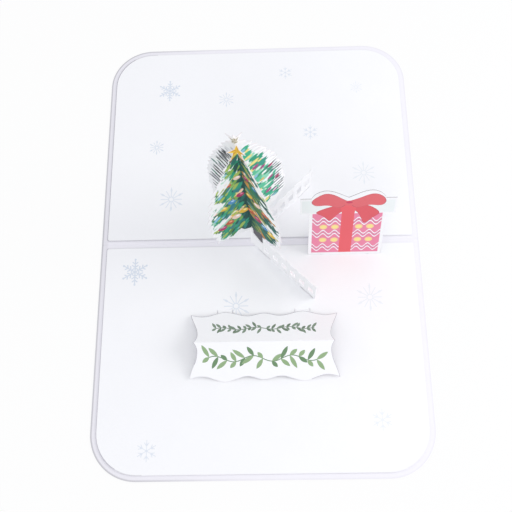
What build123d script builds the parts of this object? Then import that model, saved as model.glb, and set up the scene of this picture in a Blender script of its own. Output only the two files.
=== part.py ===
"""A pop up greeting card, opened flat, with a tree, a gift and a tent-shaped plaque.

The origin is on the gutter, at the underside of the cover. X runs along the gutter,
Y runs from the near leaf to the far leaf, and Z points up. Lengths are millimetres.
"""

import math
import os

from build123d import *

os.makedirs("parts", exist_ok=True)

# Card and paper stock
cover_stock = 0.4
liner_stock = 0.25
popup_stock = 0.3
glue_film = 0.05
slit_clearance = 0.25
overrun = 1.0
cutter_depth = 4.0

# Cover: one folded sheet
leaf_width = 180.0
leaf_depth = 130.0
corner_radius = 25.0
score_width = 0.8
score_depth = 0.15

# Liners: one printed sheet glued inside each leaf
liner_margin = 3.0
gutter_gap = 4.4
gutter_corner_radius = 1.0

# Levels: the tabs lie between the cover and the liners
tab_level = cover_stock + popup_stock / 2
liner_level = cover_stock + popup_stock
page = liner_level + liner_stock

# Glue tabs
tab_depth = 6.0
tab_taper = 1.5

# Ladder strut: a strip folded in a V across the gutter
strut_crease_x = -4.6
strut_leg_angle = 44.8
strut_leg_length = 49.0
strut_height = 21.0
window_width = 3.6
window_height = 6.6
window_middle = 8.8
window_pitch = 6.6
window_start = 12.5
scallop_depth = 1.0
saddle_start = 18.4
saddle_end = 13.6
horn_start = 1.6
horn_width = 0.9
horn_height = 26.0
tooth_start = 9.8
tooth_width = 1.4
tooth_height = 24.0
strut_tab_length = 9.0
strut_tab_places = (6.0, 38.5)

# Tree: two folded sheets, each glued by a tongue inside one leg of the strut
tree_height = 95.5
tree_crease_inset = 1.1
tree_hover = 0.4
glue_length = 9.5
tongue_drop = 14.0
tongue_start = 1.4
tongue_corner = 1.5
star_radius = 5.4
star_inner_radius = 2.4
star_drop = 6.0
fringe_count = 15
fringe_depth = 2.6
fringe_hang = 3.8
fringe_sway = 0.9
hem_count = 7
hem_depth = 1.6
widest_share = 0.77
fullness = 1.0

front_half_width = 22.5
front_hem_rises = (-1.5, 5.0)
front_left_azimuth = 202.0
front_bow = 11.0
front_lean = (-0.034, 0.0)

back_half_width = 28.2
back_hem_rises = (10.0, 10.0)
back_left_azimuth = 138.5
back_bow = 6.0
back_lean = (-0.05, 0.038)

# Gift: a die-cut panel that leans back on a folded support
gift_x = 47.5
gift_foot_y = -8.3
gift_lean = 19.5
gift_half_width = 20.3
gift_lid_half_width = 25.0
gift_lid_bottom = 33.4
gift_lid_top = 44.9
bow_half_width = 19.3
bow_lobe_x = 13.4
bow_lobe_top = 50.4
bow_dip = 45.6
bow_start_share = (-0.3, 1.0)
bow_end_share = (-1.0, -0.5)
gift_corner_radius = 0.6
gift_tab_width = 26.0
support_width = 24.0
support_rise = 26.0
support_flap = 6.0

# Plaque: a folded sheet that stands as a low tent on the near leaf
plaque_x = 1.9
plaque_ridge_y = -60.4
plaque_rise = 10.5
plaque_half_length = 21.8
plaque_half_width = 40.0
plaque_ridge_half_width = 37.6
plaque_wave = 1.3
plaque_edge_shares = ((1.0, -1.2), (0.81, -2.1), (0.53, 0.0), (0.21, -2.0), (0.0, -0.7))
plaque_end_shares = ((0.74, 0.972), (0.42, 0.908), (0.16, 0.896))
plaque_edge_start_share = (-1.0, -0.3)
plaque_edge_end_share = (-1.0, 0.0)
plaque_tab_width = 8.0
plaque_tab_spacing = 42.4
plaque_tab_rise = 3.9


def stand(azimuth, x, y, z):
    """Plane of an upright sheet: its x runs outwards at the azimuth and its y runs up."""
    heading = Vector(math.cos(math.radians(azimuth)), math.sin(math.radians(azimuth)), 0)
    return Plane(origin=(x, y, z), x_dir=heading, z_dir=heading.cross(Vector(0, 0, 1)))


def slab(outline, plane, thickness):
    """Closed solid of a flat outline in a plane, half its thickness to each side."""
    return extrude(plane * outline, amount=thickness / 2, both=True)


def polygon(points):
    """Face with straight sides through the points."""
    return make_face(Polyline(*points, close=True).edges())


def folded_strip(points, width):
    """Sheet folded along lines that run along X, from its section in Y and Z."""
    section = Plane.YZ * trace(Polyline(*points), line_width=popup_stock)
    return extrude(section, amount=width / 2, both=True)


def tapered_tab(length):
    """Outline of a glue tab that is narrower at its free edge, which lies at positive Y."""
    fold = length / 2
    free = fold - tab_taper
    return polygon(((-fold, 0), (fold, 0), (free, tab_depth), (-free, tab_depth)))


# Cover and liners


def make_cover():
    sheet = extrude(RectangleRounded(leaf_width, 2 * leaf_depth, corner_radius), amount=cover_stock)
    score = Pos(0, 0, cover_stock) * Box(leaf_width, score_width, 2 * score_depth)
    return sheet - score


def make_liner(side, slits):
    """Liner of the far leaf (side 1) or the near leaf (side -1), less its slits."""
    length = leaf_depth - liner_margin - gutter_gap / 2
    width = leaf_width - 2 * liner_margin
    middle = side * (gutter_gap + length) / 2
    outline = Rectangle(width, length)
    outer = outline.vertices().group_by(Axis.Y)[-1 if side > 0 else 0]
    outline = fillet(outer, corner_radius - liner_margin)
    inner = outline.vertices().group_by(Axis.Y)[0 if side > 0 else -1]
    outline = fillet(inner, gutter_corner_radius)
    sheet = Pos(0, middle, liner_level) * extrude(outline, amount=liner_stock)
    for slit in slits:
        sheet = sheet - slit
    return sheet


def slit_box(x, y, length, width, turn=0):
    """Cutter for a slit whose middle is at x, y, turned about Z."""
    depth = liner_stock + 2 * overrun
    return Pos(x, y, liner_level + liner_stock / 2) * Rot(0, 0, turn) * Box(length, width, depth)


# Ladder strut


def strut_outline():
    """Side view of one leg: saddle, horns, windows and scalloped top, from the crease out."""
    end = strut_leg_length
    top = strut_height
    horn_end = horn_start + horn_width
    tooth_end = tooth_start + tooth_width
    leg = polygon(
        (
            (-overrun, 0),
            (end, 0),
            (end, top),
            (tooth_end, top),
            (tooth_start, tooth_height),
            (tooth_start, saddle_end),
            (horn_end, saddle_start),
            (horn_start, horn_height),
            (horn_start, saddle_start),
            (-overrun, saddle_start),
        )
    )
    count = int((end - window_start - window_width / 2) // window_pitch) + 1
    chord = window_pitch - window_width / 2
    scallop_radius = (chord**2 / 4 + scallop_depth**2) / (2 * scallop_depth)
    for index in range(count):
        x = window_start + index * window_pitch
        leg -= Pos(x, window_middle) * Rectangle(window_width, window_height)
        if index > 0:
            leg -= Pos(x, top - scallop_depth + scallop_radius) * Circle(scallop_radius)
    return leg


def leg_point(side, along, inwards=0.0):
    """Point on a leg's middle line, or beside it towards the inside of the V."""
    angle = math.radians(strut_leg_angle)
    x = strut_crease_x + along * math.cos(angle) + inwards * math.sin(angle)
    y = side * (along * math.sin(angle) - inwards * math.cos(angle))
    return x, y


def strut_tab_slits(side):
    """Cutters for the slits that a leg's two glue tabs pass through."""
    cutters = []
    for place in strut_tab_places:
        x, y = leg_point(side, place + strut_tab_length / 2)
        length = strut_tab_length + 2 * slit_clearance
        width = popup_stock + 2 * slit_clearance
        cutters.append(slit_box(x, y, length, width, side * strut_leg_angle))
    return cutters


def make_strut():
    path = Polyline(leg_point(-1, strut_leg_length), (strut_crease_x, 0), leg_point(1, strut_leg_length))
    wall = Pos(0, 0, page) * extrude(trace(path, line_width=popup_stock), amount=strut_height + horn_height)
    outline = strut_outline()
    sides = [
        slab(outline, stand(side * strut_leg_angle, strut_crease_x, 0, page), 2 * popup_stock)
        for side in (-1, 1)
    ]
    strut = wall & (sides[0] + sides[1])
    for side in (-1, 1):
        for place in strut_tab_places:
            x, y = leg_point(side, place + strut_tab_length / 2)
            turn = Pos(x, y, 0) * Rot(0, 0, side * strut_leg_angle)
            drop = page - cover_stock
            web = Pos(0, 0, cover_stock + drop / 2) * Box(strut_tab_length, popup_stock, drop)
            flap = extrude(tapered_tab(strut_tab_length), amount=popup_stock)
            if side > 0:
                flap = Rot(0, 0, 180) * flap
            strut += turn * web + turn * Pos(0, 0, cover_stock) * flap
    return strut


# Tree


def half_width(share, widest):
    """Half width of the boughs at a share of the way down from the tip of the tree."""
    swell = math.sin(math.pi / 2 * min(share, 1.0) / widest_share)
    return widest * abs(swell) ** fullness


def ragged(index):
    """Uneven share between 0 and 1 that varies from one tuft of the fringe to the next."""
    return math.fmod((index + 1) * (math.sqrt(5) - 1) / 2, 1.0)


def star_half():
    """Right half of a five-pointed star about its own middle."""
    points = []
    for index in range(6):
        angle = math.radians(90 - 36 * index)
        radius = star_inner_radius if index % 2 else star_radius
        points.append((radius * math.cos(angle), radius * math.sin(angle)))
    inner = -star_inner_radius
    points[-1] = (0, inner)
    return polygon([(-overrun / 2, star_radius), *points, (-overrun / 2, inner)])


def tree_half(widest, hem_rise):
    """One half of a tree sheet, from the crease out: ragged boughs and a ragged hem."""
    boughs_top = tree_height - star_drop
    pitch = (boughs_top - hem_rise) / fringe_count
    points = [(-overrun / 2, tree_hover), (-overrun / 2, boughs_top), (0, boughs_top)]
    for index in range(fringe_count):
        tip_height = boughs_top - (index + 1) * pitch
        notch_height = tip_height + fringe_hang
        notch_width = half_width(1 - notch_height / tree_height, widest)
        tip_width = half_width(1 - tip_height / tree_height, widest)
        depth = fringe_depth * (1 + ragged(index)) / 2
        points.append((max(notch_width - depth, notch_width / 2), notch_height))
        points.append((tip_width + fringe_sway * (ragged(index + 1) - 1), tip_height))
    hem_width = points[-1][0]
    step = 1 / (hem_count + 1)
    for index in range(hem_count):
        share = 1 - (index + 1) * step
        level = tree_hover + hem_rise * share**2
        points.append((hem_width * share, level + hem_depth))
        points.append((hem_width * (share - step / 2), level - hem_depth * ragged(index) * share))
    return polygon(points)


def make_tree_sheet(side, widest, hem_rises, left_azimuth, bow, lean):
    """Sheet creased at the strut's crease, with its right half glued along a leg of the strut."""
    base = page + strut_height
    bend_level = page + horn_height
    x, y = leg_point(side, tree_crease_inset, popup_stock + glue_film)
    leg_azimuth = side * strut_leg_angle
    leg_heading = (math.cos(math.radians(leg_azimuth)), math.sin(math.radians(leg_azimuth)))
    left_heading = (math.cos(math.radians(left_azimuth)), math.sin(math.radians(left_azimuth)))
    reach = widest + fringe_depth
    bend = (glue_length * leg_heading[0], glue_length * leg_heading[1])
    bow_radius = (reach - glue_length) / math.radians(bow)
    glued = Line((0, 0), bend)
    bowed = JernArc(start=bend, tangent=leg_heading, radius=bow_radius, arc_size=bow)
    free = Line((reach * left_heading[0], reach * left_heading[1]), (0, 0))
    section = trace(Curve() + [free, glued, bowed], line_width=popup_stock)
    upright_bottom = base - tongue_drop - overrun
    upright = Pos(x, y, upright_bottom) * extrude(section, amount=bend_level - upright_bottom)
    rise = Vector(lean[0], lean[1], 1)
    length = (tree_height + overrun) * rise.length
    leaning = Pos(x, y, bend_level) * extrude(section, amount=length, dir=rise)
    star = Pos(0, tree_height - star_radius) * star_half()
    chord_azimuth = leg_azimuth + bow * (reach - glue_length) / (2 * reach)
    tongue_length = glue_length - tongue_start
    tongue = Rectangle(tongue_length, tongue_drop + star_radius)
    tongue = fillet(tongue.vertices().group_by(Axis.Y)[0], tongue_corner)
    tongue = Pos(tongue_start + tongue_length / 2, (star_radius - tongue_drop) / 2) * tongue
    mask = slab(tongue, stand(leg_azimuth, x, y, base), cutter_depth)
    for azimuth, hem_rise in zip((left_azimuth, chord_azimuth), hem_rises):
        outline = Pos(0, base - bend_level) * (tree_half(widest, hem_rise) + star)
        normal = stand(azimuth, x, y, bend_level).x_dir.cross(rise)
        tilt = Plane(origin=(x, y, bend_level), x_dir=rise.cross(normal), z_dir=normal)
        mask = mask + slab(outline, tilt, cutter_depth)
    return (leaning & mask) + (upright & mask)


# Gift


def gift_outline():
    """Front view of the panel: box, wider lid and the top of the bow."""
    right = [
        Line((0, 0), (gift_half_width, 0)),
        Line((gift_half_width, 0), (gift_half_width, gift_lid_bottom)),
        Line((gift_half_width, gift_lid_bottom), (gift_lid_half_width, gift_lid_bottom)),
        Line((gift_lid_half_width, gift_lid_bottom), (gift_lid_half_width, gift_lid_top)),
        Line((gift_lid_half_width, gift_lid_top), (bow_half_width, gift_lid_top)),
        Spline(
            (bow_half_width, gift_lid_top),
            (bow_lobe_x, bow_lobe_top),
            (0, bow_dip),
            tangents=(bow_start_share, bow_end_share),
        ),
    ]
    left = [mirror(edge, about=Plane.YZ) for edge in right]
    return make_face(Curve() + right + left)


def gift_point(rise, behind=0.0):
    """Y and Z of a point on the panel's middle surface, or behind it."""
    angle = math.radians(gift_lean)
    y = gift_foot_y + rise * math.sin(angle) + behind * math.cos(angle)
    z = page + rise * math.cos(angle) - behind * math.sin(angle)
    return y, z


def gift_fold():
    """Y where the panel's middle surface meets the level of the glue tabs."""
    return gift_foot_y - (page - tab_level) * math.tan(math.radians(gift_lean))


def support_foot():
    """Y on the far leaf where the support's foot lets panel and support fold flat together."""
    y, z = gift_point(support_rise, popup_stock + glue_film)
    path = support_rise - gift_foot_y
    return (path**2 - y**2 - (z - page) ** 2) / (2 * (path - y))


def make_gift_front():
    angle = math.radians(gift_lean)
    plane = Plane(
        origin=(gift_x, gift_foot_y, page),
        x_dir=(1, 0, 0),
        z_dir=(0, -math.cos(angle), math.sin(angle)),
    )
    lift = popup_stock / 2 * math.tan(angle)
    panel = slab(Pos(0, lift) * gift_outline(), plane, popup_stock)
    fold = gift_fold()
    strip = folded_strip(
        ((fold - tab_depth, tab_level), (fold, tab_level), gift_point(gift_corner_radius + lift)),
        gift_tab_width,
    )
    return panel + Pos(gift_x, 0, 0) * strip


def make_gift_support():
    foot = support_foot()
    top_y, top_z = gift_point(support_rise, popup_stock + glue_film)
    flap_y, flap_z = gift_point(support_rise + support_flap, popup_stock + glue_film)
    slope = (foot - top_y) / (top_z - page)
    fold = foot + (page - tab_level) * slope
    strip = folded_strip(
        ((flap_y, flap_z), (top_y, top_z), (fold, tab_level), (fold + tab_depth, tab_level)),
        support_width,
    )
    return Pos(gift_x, 0, 0) * strip


# Plaque


def plaque_span():
    """Distance along Y from the ridge to each foot."""
    return math.sqrt(plaque_half_length**2 - plaque_rise**2)


def plaque_outline():
    """Plan view of the tent, with waved long edges and bracket-shaped ends."""
    span = plaque_span()
    half = plaque_half_width
    edge = [(share * half, span + wave * plaque_wave) for share, wave in plaque_edge_shares]
    end = [(width * half, share * span) for share, width in plaque_end_shares]
    far_right = [
        Spline(*edge, tangents=(plaque_edge_start_share, plaque_edge_end_share)),
        Spline(edge[0], *end, (plaque_ridge_half_width, 0)),
    ]
    far = far_right + [mirror(line, about=Plane.YZ) for line in far_right]
    near = [mirror(line, about=Plane.XZ) for line in far]
    return make_face(Curve() + far + near)


def plaque_slope():
    """Fall of each half of the tent for each millimetre away from the ridge."""
    return plaque_rise / plaque_span()


def plaque_ridge_z():
    """Height of the ridge's middle surface, with both feet on the page."""
    slope_angle = math.atan(plaque_slope())
    return page + plaque_rise + popup_stock / 2 / math.cos(slope_angle)


def make_plaque():
    slope = plaque_slope()
    ridge_z = plaque_ridge_z()
    reach = plaque_span() + overrun
    foot_z = ridge_z - reach * slope
    near_foot = (plaque_ridge_y - reach, foot_z)
    far_foot = (plaque_ridge_y + reach, foot_z)
    ridge = (plaque_ridge_y, ridge_z)
    tent = folded_strip((near_foot, ridge, far_foot), 2 * plaque_half_width + 2 * overrun)
    outline = Pos(plaque_x, plaque_ridge_y, page) * extrude(plaque_outline(), amount=ridge_z)
    tent = Pos(plaque_x, 0, 0) * tent & outline
    fold = plaque_ridge_y + (ridge_z - tab_level) / slope
    tab_top = plaque_ridge_y + plaque_span() - plaque_tab_rise
    tab_top_z = ridge_z - (tab_top - plaque_ridge_y) * slope
    strip = folded_strip(
        ((tab_top, tab_top_z), (fold, tab_level), (fold + tab_depth, tab_level)),
        plaque_tab_width,
    )
    for side in (-1, 1):
        tent += Pos(plaque_x + side * plaque_tab_spacing / 2, 0, 0) * strip
    return tent


def plaque_slits():
    """Cutters for the slits under the plaque's far edge."""
    slope = plaque_slope()
    length = plaque_tab_width + 2 * slit_clearance
    width = (page - tab_level + 2 * popup_stock) / slope + slit_clearance
    middle = plaque_ridge_y + (plaque_ridge_z() - (page + tab_level) / 2) / slope
    places = (plaque_x - plaque_tab_spacing / 2, plaque_x + plaque_tab_spacing / 2)
    return [slit_box(x, middle, length, width) for x in places]


# Slits for the gift's panel and support


def gift_slit(y, fold, width):
    """Cutter for a slit that a leaning sheet passes through."""
    across = abs(fold - y) + popup_stock + 2 * slit_clearance
    return slit_box(gift_x, (y + fold) / 2, width + 2 * slit_clearance, across)


foot = support_foot()
near_slits = strut_tab_slits(-1) + plaque_slits() + [gift_slit(gift_foot_y, gift_fold(), gift_tab_width)]
far_slits = strut_tab_slits(1) + [gift_slit(foot, foot, support_width)]

nodes = {
    "cover": make_cover(),
    "upper_liner": make_liner(1, far_slits),
    "lower_liner": make_liner(-1, near_slits),
    "ladder_strut": make_strut(),
    "tree_front": make_tree_sheet(
        -1, front_half_width, front_hem_rises, front_left_azimuth, front_bow, front_lean
    ),
    "tree_back": make_tree_sheet(
        1, back_half_width, back_hem_rises, back_left_azimuth, back_bow, back_lean
    ),
    "gift_front": make_gift_front(),
    "gift_support": make_gift_support(),
    "plaque": make_plaque(),
}

for name, solid in nodes.items():
    export_step(solid, f"parts/{name}.step")
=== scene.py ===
# %% [markdown]
# # A pop up card, opened flat
#
# The real object is a greeting card made of folded sheets. It is laid open on a table. A strip
# with windows stands in a V over the fold and carries a tree of two creased sheets. A gift
# panel leans back beside it and a low tent with waved edges lies in front.
#
# The solid model is loaded first and stays the measure of everything. A sheet that carries a
# print is made again here from its flat pattern, because a print is drawn while paper is flat.
# Lengths are millimetres until a mesh is filled, and metres inside it.

# %% Start from the solid model
import math

import bpy
import numpy as np
from mathutils import Matrix, Vector
from mathutils.geometry import delaunay_2d_cdt


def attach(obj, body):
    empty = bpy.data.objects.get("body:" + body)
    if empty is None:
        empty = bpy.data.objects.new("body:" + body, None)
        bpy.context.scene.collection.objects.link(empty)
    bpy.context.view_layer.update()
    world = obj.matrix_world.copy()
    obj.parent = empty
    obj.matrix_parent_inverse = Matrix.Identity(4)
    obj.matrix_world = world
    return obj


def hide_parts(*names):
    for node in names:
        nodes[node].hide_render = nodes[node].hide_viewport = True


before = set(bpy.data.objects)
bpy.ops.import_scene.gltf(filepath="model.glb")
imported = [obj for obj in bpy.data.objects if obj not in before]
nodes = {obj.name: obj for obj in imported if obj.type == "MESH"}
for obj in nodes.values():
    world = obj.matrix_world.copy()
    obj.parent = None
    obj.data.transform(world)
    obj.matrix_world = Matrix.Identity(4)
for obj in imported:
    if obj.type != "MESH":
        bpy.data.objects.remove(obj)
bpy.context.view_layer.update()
MM = 0.001
STOCK = 0.3  # thickness of the pop-up paper
PAGE = 0.95  # level of the printed pages over the table
TAB = 0.55  # level of the glued tabs, between cover and page
print("nodes:", sorted(nodes))


def colour(text):
    """Linear colour of a hex string: each sRGB share is turned linear by its usual curve."""
    shares = np.array([int(text[i : i + 2], 16) for i in (1, 3, 5)]) / 255
    linear = np.where(shares <= 0.04045, shares / 12.92, ((shares + 0.055) / 1.055) ** 2.4)
    return tuple(linear) + (1.0,)


# %% [markdown]
# ## Shader maths
#
# Paper looks flat in a render when it is one colour. Real paper has a cloudy body, a tooth that
# catches low light, and ink that lies unevenly. These are small sums over the surface, so one
# class turns Python's own operators into Math nodes, and one method makes any other node.

# %% A small language for materials
class Wire:
    """A socket that can be added to, multiplied and so on. Each operator makes one Math node."""

    def __init__(self, tree, socket):
        self.tree = tree
        self.socket = socket

    def node(self, kind, settings=(), **values):
        """Make a node: its settings first, then a value or a link for each named socket."""
        made = self.tree.nodes.new(kind)
        for key, value in dict(settings).items():
            setattr(made, key, value)
        for key, value in values.items():
            place = int(key[1:]) if key[0] == "_" and key[1:].isdigit() else key.replace("_", " ")
            target = made.inputs[place]
            if isinstance(value, Wire):
                self.tree.links.new(value.socket, target)
            else:
                target.default_value = value
        return made

    def math(self, operation, *others):
        values = {f"_{index}": value for index, value in enumerate((self,) + others)}
        made = self.node("ShaderNodeMath", {"operation": operation}, **values)
        return Wire(self.tree, made.outputs[0])

    def __add__(self, other):
        return self.math("ADD", other)

    def __sub__(self, other):
        return self.math("SUBTRACT", other)

    def __mul__(self, other):
        return self.math("MULTIPLY", other)

    def __rsub__(self, other):
        return (self * -1.0) + other

    __radd__ = __add__
    __rmul__ = __mul__

    def smooth(self, low, high):
        """0 below low, 1 above high and an even S-shaped rise between them."""
        made = self.node(
            "ShaderNodeMapRange",
            {"interpolation_type": "SMOOTHSTEP"},
            Value=self, From_Min=low, From_Max=high,
        )
        return Wire(self.tree, made.outputs["Result"])

    def mix(self, first, second):
        """Colour that goes from the first to the second as this wire goes from 0 to 1."""
        made = self.node(
            "ShaderNodeMix", {"data_type": "RGBA"}, _0=self, _6=first, _7=second
        )
        return Wire(self.tree, made.outputs[2])


def new_material(name):
    """Empty material with its surface shader, and a wire to start sums from."""
    material = bpy.data.materials.new(name)
    material.use_nodes = True
    shader = material.node_tree.nodes["Principled BSDF"]
    start = Wire(material.node_tree, None)
    return material, shader, start


def link(start, wire, socket):
    start.tree.links.new(wire.socket if isinstance(wire, Wire) else wire, socket)


def noise(start, vector, scale, detail=3.0, roughness=0.5):
    made = start.node(
        "ShaderNodeTexNoise", Scale=scale, Detail=detail, Roughness=roughness
    )
    start.tree.links.new(vector, made.inputs["Vector"])
    return Wire(start.tree, made.outputs["Fac"])


# %% [markdown]
# ## Paper and card
#
# The pages are smooth uncoated paper. Its body is a little cloudy and it has fine fibres. The
# thin sheets show their cut edge, which the cutting laser leaves slightly toasted; on the gift the
# dark cut edge is also painted shade. One function makes every stock, and its arguments say how
# warm, rough and strongly toothed each one is.

# %% Stocks
def paper(name, tone, printed=False, tooth=0.012, rough=0.72, cloud=0.02, bristle=0.0, rim=None):
    """Paper: a tone or a printed ink, times a cloudy noise, with a bump of fibre noise.

    The fibre noise is stretched along X, so fibres lie one way as they do in a real sheet.
    bristle is how far streaks along the boughs lighten and darken the ink.
    """
    material, shader, start = new_material(name)
    place = start.node("ShaderNodeTexCoord").outputs["Object"]
    fibre_place = start.node("ShaderNodeMapping", Scale=(500.0, 1400.0, 900.0))
    start.tree.links.new(place, fibre_place.inputs["Vector"])
    fibres = noise(start, fibre_place.outputs[0], 1.0, 4.0, 0.6)
    clouds = noise(start, place, 60.0, 2.0)
    light = clouds * cloud + (1.0 - cloud / 2) + (fibres * 0.03 - 0.015)
    if printed:
        ink = start.node("ShaderNodeAttribute", {"attribute_name": "ink"})
        body = Wire(start.tree, ink.outputs["Color"])
    else:
        body = colour(tone)
    # rim multiplies the light by a factor of painted shade along the sheet's edge
    if rim:
        light = light * rim(start, place)
    if bristle:
        flat = start.node("ShaderNodeUVMap", {"uv_map": "pattern"}).outputs["UV"]
        streak_place = start.node("ShaderNodeMapping", Scale=(0.35, 3.2, 1.0))
        start.tree.links.new(flat, streak_place.inputs["Vector"])
        streaks = noise(start, streak_place.outputs[0], 1.0, 3.0, 0.65)
        light = light + (streaks - 0.5) * bristle
    grey = start.node("ShaderNodeCombineColor", Red=light, Green=light, Blue=light)
    toned = start.node(
        "ShaderNodeMix", {"data_type": "RGBA", "blend_type": "MULTIPLY"},
        _0=1.0, _6=body, _7=Wire(start.tree, grey.outputs[0]),
    )
    link(start, toned.outputs[2], shader.inputs["Base Color"])
    link(start, fibres * 0.12 + (rough - 0.06), shader.inputs["Roughness"])
    bump = start.node("ShaderNodeBump", Strength=0.35, Distance=tooth * MM, Height=fibres)
    link(start, bump.outputs[0], shader.inputs["Normal"])
    shader.inputs["Specular IOR Level"].default_value = 0.35
    return material


def painted_rim_shade(start, place):
    """Painted shade on the cover: a light factor of 1, down to 0.63 at its edge.

    With q the distances beyond the middles of the corner arcs, the distance to the edge is the
    length of the positive part of q less the corner radius. The painted shade fades from left to right.
    """
    parts = start.node("ShaderNodeSeparateXYZ")
    start.tree.links.new(place, parts.inputs[0])
    x, y = Wire(start.tree, parts.outputs["X"]), Wire(start.tree, parts.outputs["Y"])
    qx = (x.math("ABSOLUTE") - 0.065).math("MAXIMUM", 0.0)
    qy = (y.math("ABSOLUTE") - 0.105).math("MAXIMUM", 0.0)
    edge = (qx * qx + qy * qy).math("SQRT") - 0.025
    painted_shade = edge.smooth(-0.0012, -0.0004) * 0.30 + edge.smooth(-0.0042, -0.0028) * 0.07
    return 1.0 - painted_shade * ((x * -1.0).smooth(0.0, 0.088) * 0.85 + 0.15)


WHITE = "#F6F6F9"
plain_paper = paper("plain pop-up paper", "#F6F6F8")
# The cover's rim carries painted shade, darkest at the left
cover_card = paper("cover card", "#F2F0F7", tooth=0.02, rough=0.66, cloud=0.03, rim=painted_rim_shade)
page_paper = paper("printed page", WHITE, printed=True)
gift_paper = paper("printed gift paper", WHITE, printed=True, rough=0.6)
bough_paper = paper("printed bough paper", WHITE, printed=True, rough=0.62, bristle=0.5)
# Dark cut edge: partly toasting by the laser, partly painted shade for the dark edge lines
toasted_shaded_edge = paper("toasted and shaded cut edge", "#8B8486", tooth=0.03, rough=0.85, cloud=0.2)
pale_edge = paper("pale cut edge", "#E6E0E2", tooth=0.03, rough=0.85, cloud=0.1)
print("stocks:", [material.name for material in bpy.data.materials])

# %% [markdown]
# ## From a flat pattern to a standing sheet
#
# A folded sheet could be modelled as bent boxes, but then each print would have to be wrapped
# over the folds. Here it is done as in a card factory. Outline, slits and printed shapes are
# drawn flat, all lines are joined into one triangle net, and each triangle takes the topmost
# shape's ink. Then the whole net is bent along its creases at once and given its thickness.

# %% Folding along a path
def unit(vectors):
    return vectors / np.linalg.norm(vectors, axis=-1, keepdims=True)


def fold(path, along):
    """Place and mitred normal at distances along a bent path.

    The place is found by linear interpolation over the path's running length. The normal is
    the run's direction turned by a quarter to the right. At a bend it is the sum of both runs'
    normals over one plus their dot product, so the sheet keeps its thickness round the crease.
    """
    path = np.asarray(path, float)
    steps = np.diff(path, axis=0)
    marks = np.concatenate([[0], np.cumsum(np.linalg.norm(steps, axis=1))])
    along = np.clip(along, marks[0], marks[-1])
    place = np.stack([np.interp(along, marks, path[:, k]) for k in (0, 1)], 1)
    heading = unit(steps)
    right = np.stack([heading[:, 1], -heading[:, 0]], 1)
    run = np.clip(np.searchsorted(marks, along, side="right") - 1, 0, len(steps) - 1)
    normal = right[run]
    if len(steps) > 1:
        mitre = right[:-1] + right[1:]
        mitre /= (1 + (right[:-1] * right[1:]).sum(1))[:, None]
        nearest = np.abs(along[:, None] - marks[None, 1:-1])
        bend = nearest.argmin(1)
        at_bend = nearest.min(1) < 1e-4
        normal[at_bend] = mitre[bend[at_bend]]
    return place, normal, marks


# %% Drawing and cutting the flat net
def turned_left(loop):
    """The loop in the order that has its area on the left: half the sum of cross products."""
    loop = np.asarray(loop, float)
    x, y = loop.T
    area = (x * np.roll(y, -1) - np.roll(x, -1) * y).sum() / 2
    return loop if area > 0 else loop[::-1]


def net(outlines, shapes=(), holes=(), creases=()):
    """Triangle net of a flat pattern, and the number of the topmost shape on each triangle.

    All outlines go to one constrained Delaunay triangulation. A triangle is kept when it lies
    inside an outline and in no hole. Its ink is that of the last drawn shape that holds it.
    """
    loops = [turned_left(loop) for loop in [*outlines, *holes, *(shape[0] for shape in shapes)]]
    counts = np.cumsum([0] + [len(loop) for loop in loops])
    points = np.concatenate(loops + [np.asarray(crease, float) for crease in creases])
    faces = [list(range(a, b)) for a, b in zip(counts[:-1], counts[1:])]
    first = counts[-1]
    edges = [(first + 2 * k, first + 2 * k + 1) for k in range(len(creases))]
    made = delaunay_2d_cdt(
        [Vector(p) for p in points], edges, faces, 1, 1e-5, True
    )
    flat = np.array([tuple(v) for v in made[0]])
    triangles = np.array(made[2])
    first_hole, first_shape = len(outlines), len(outlines) + len(holes)
    top = np.array([max(owners, default=-1) for owners in made[5]])
    low = np.array([min(owners, default=first_hole) for owners in made[5]])
    holed = np.array([any(first_hole <= k < first_shape for k in owners) for owners in made[5]])
    keep = (low < first_hole) & ~holed
    used, numbers = np.unique(triangles[keep], return_inverse=True)
    return flat[used], numbers.reshape(-1, 3), np.maximum(top[keep] - first_shape, -1)


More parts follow.
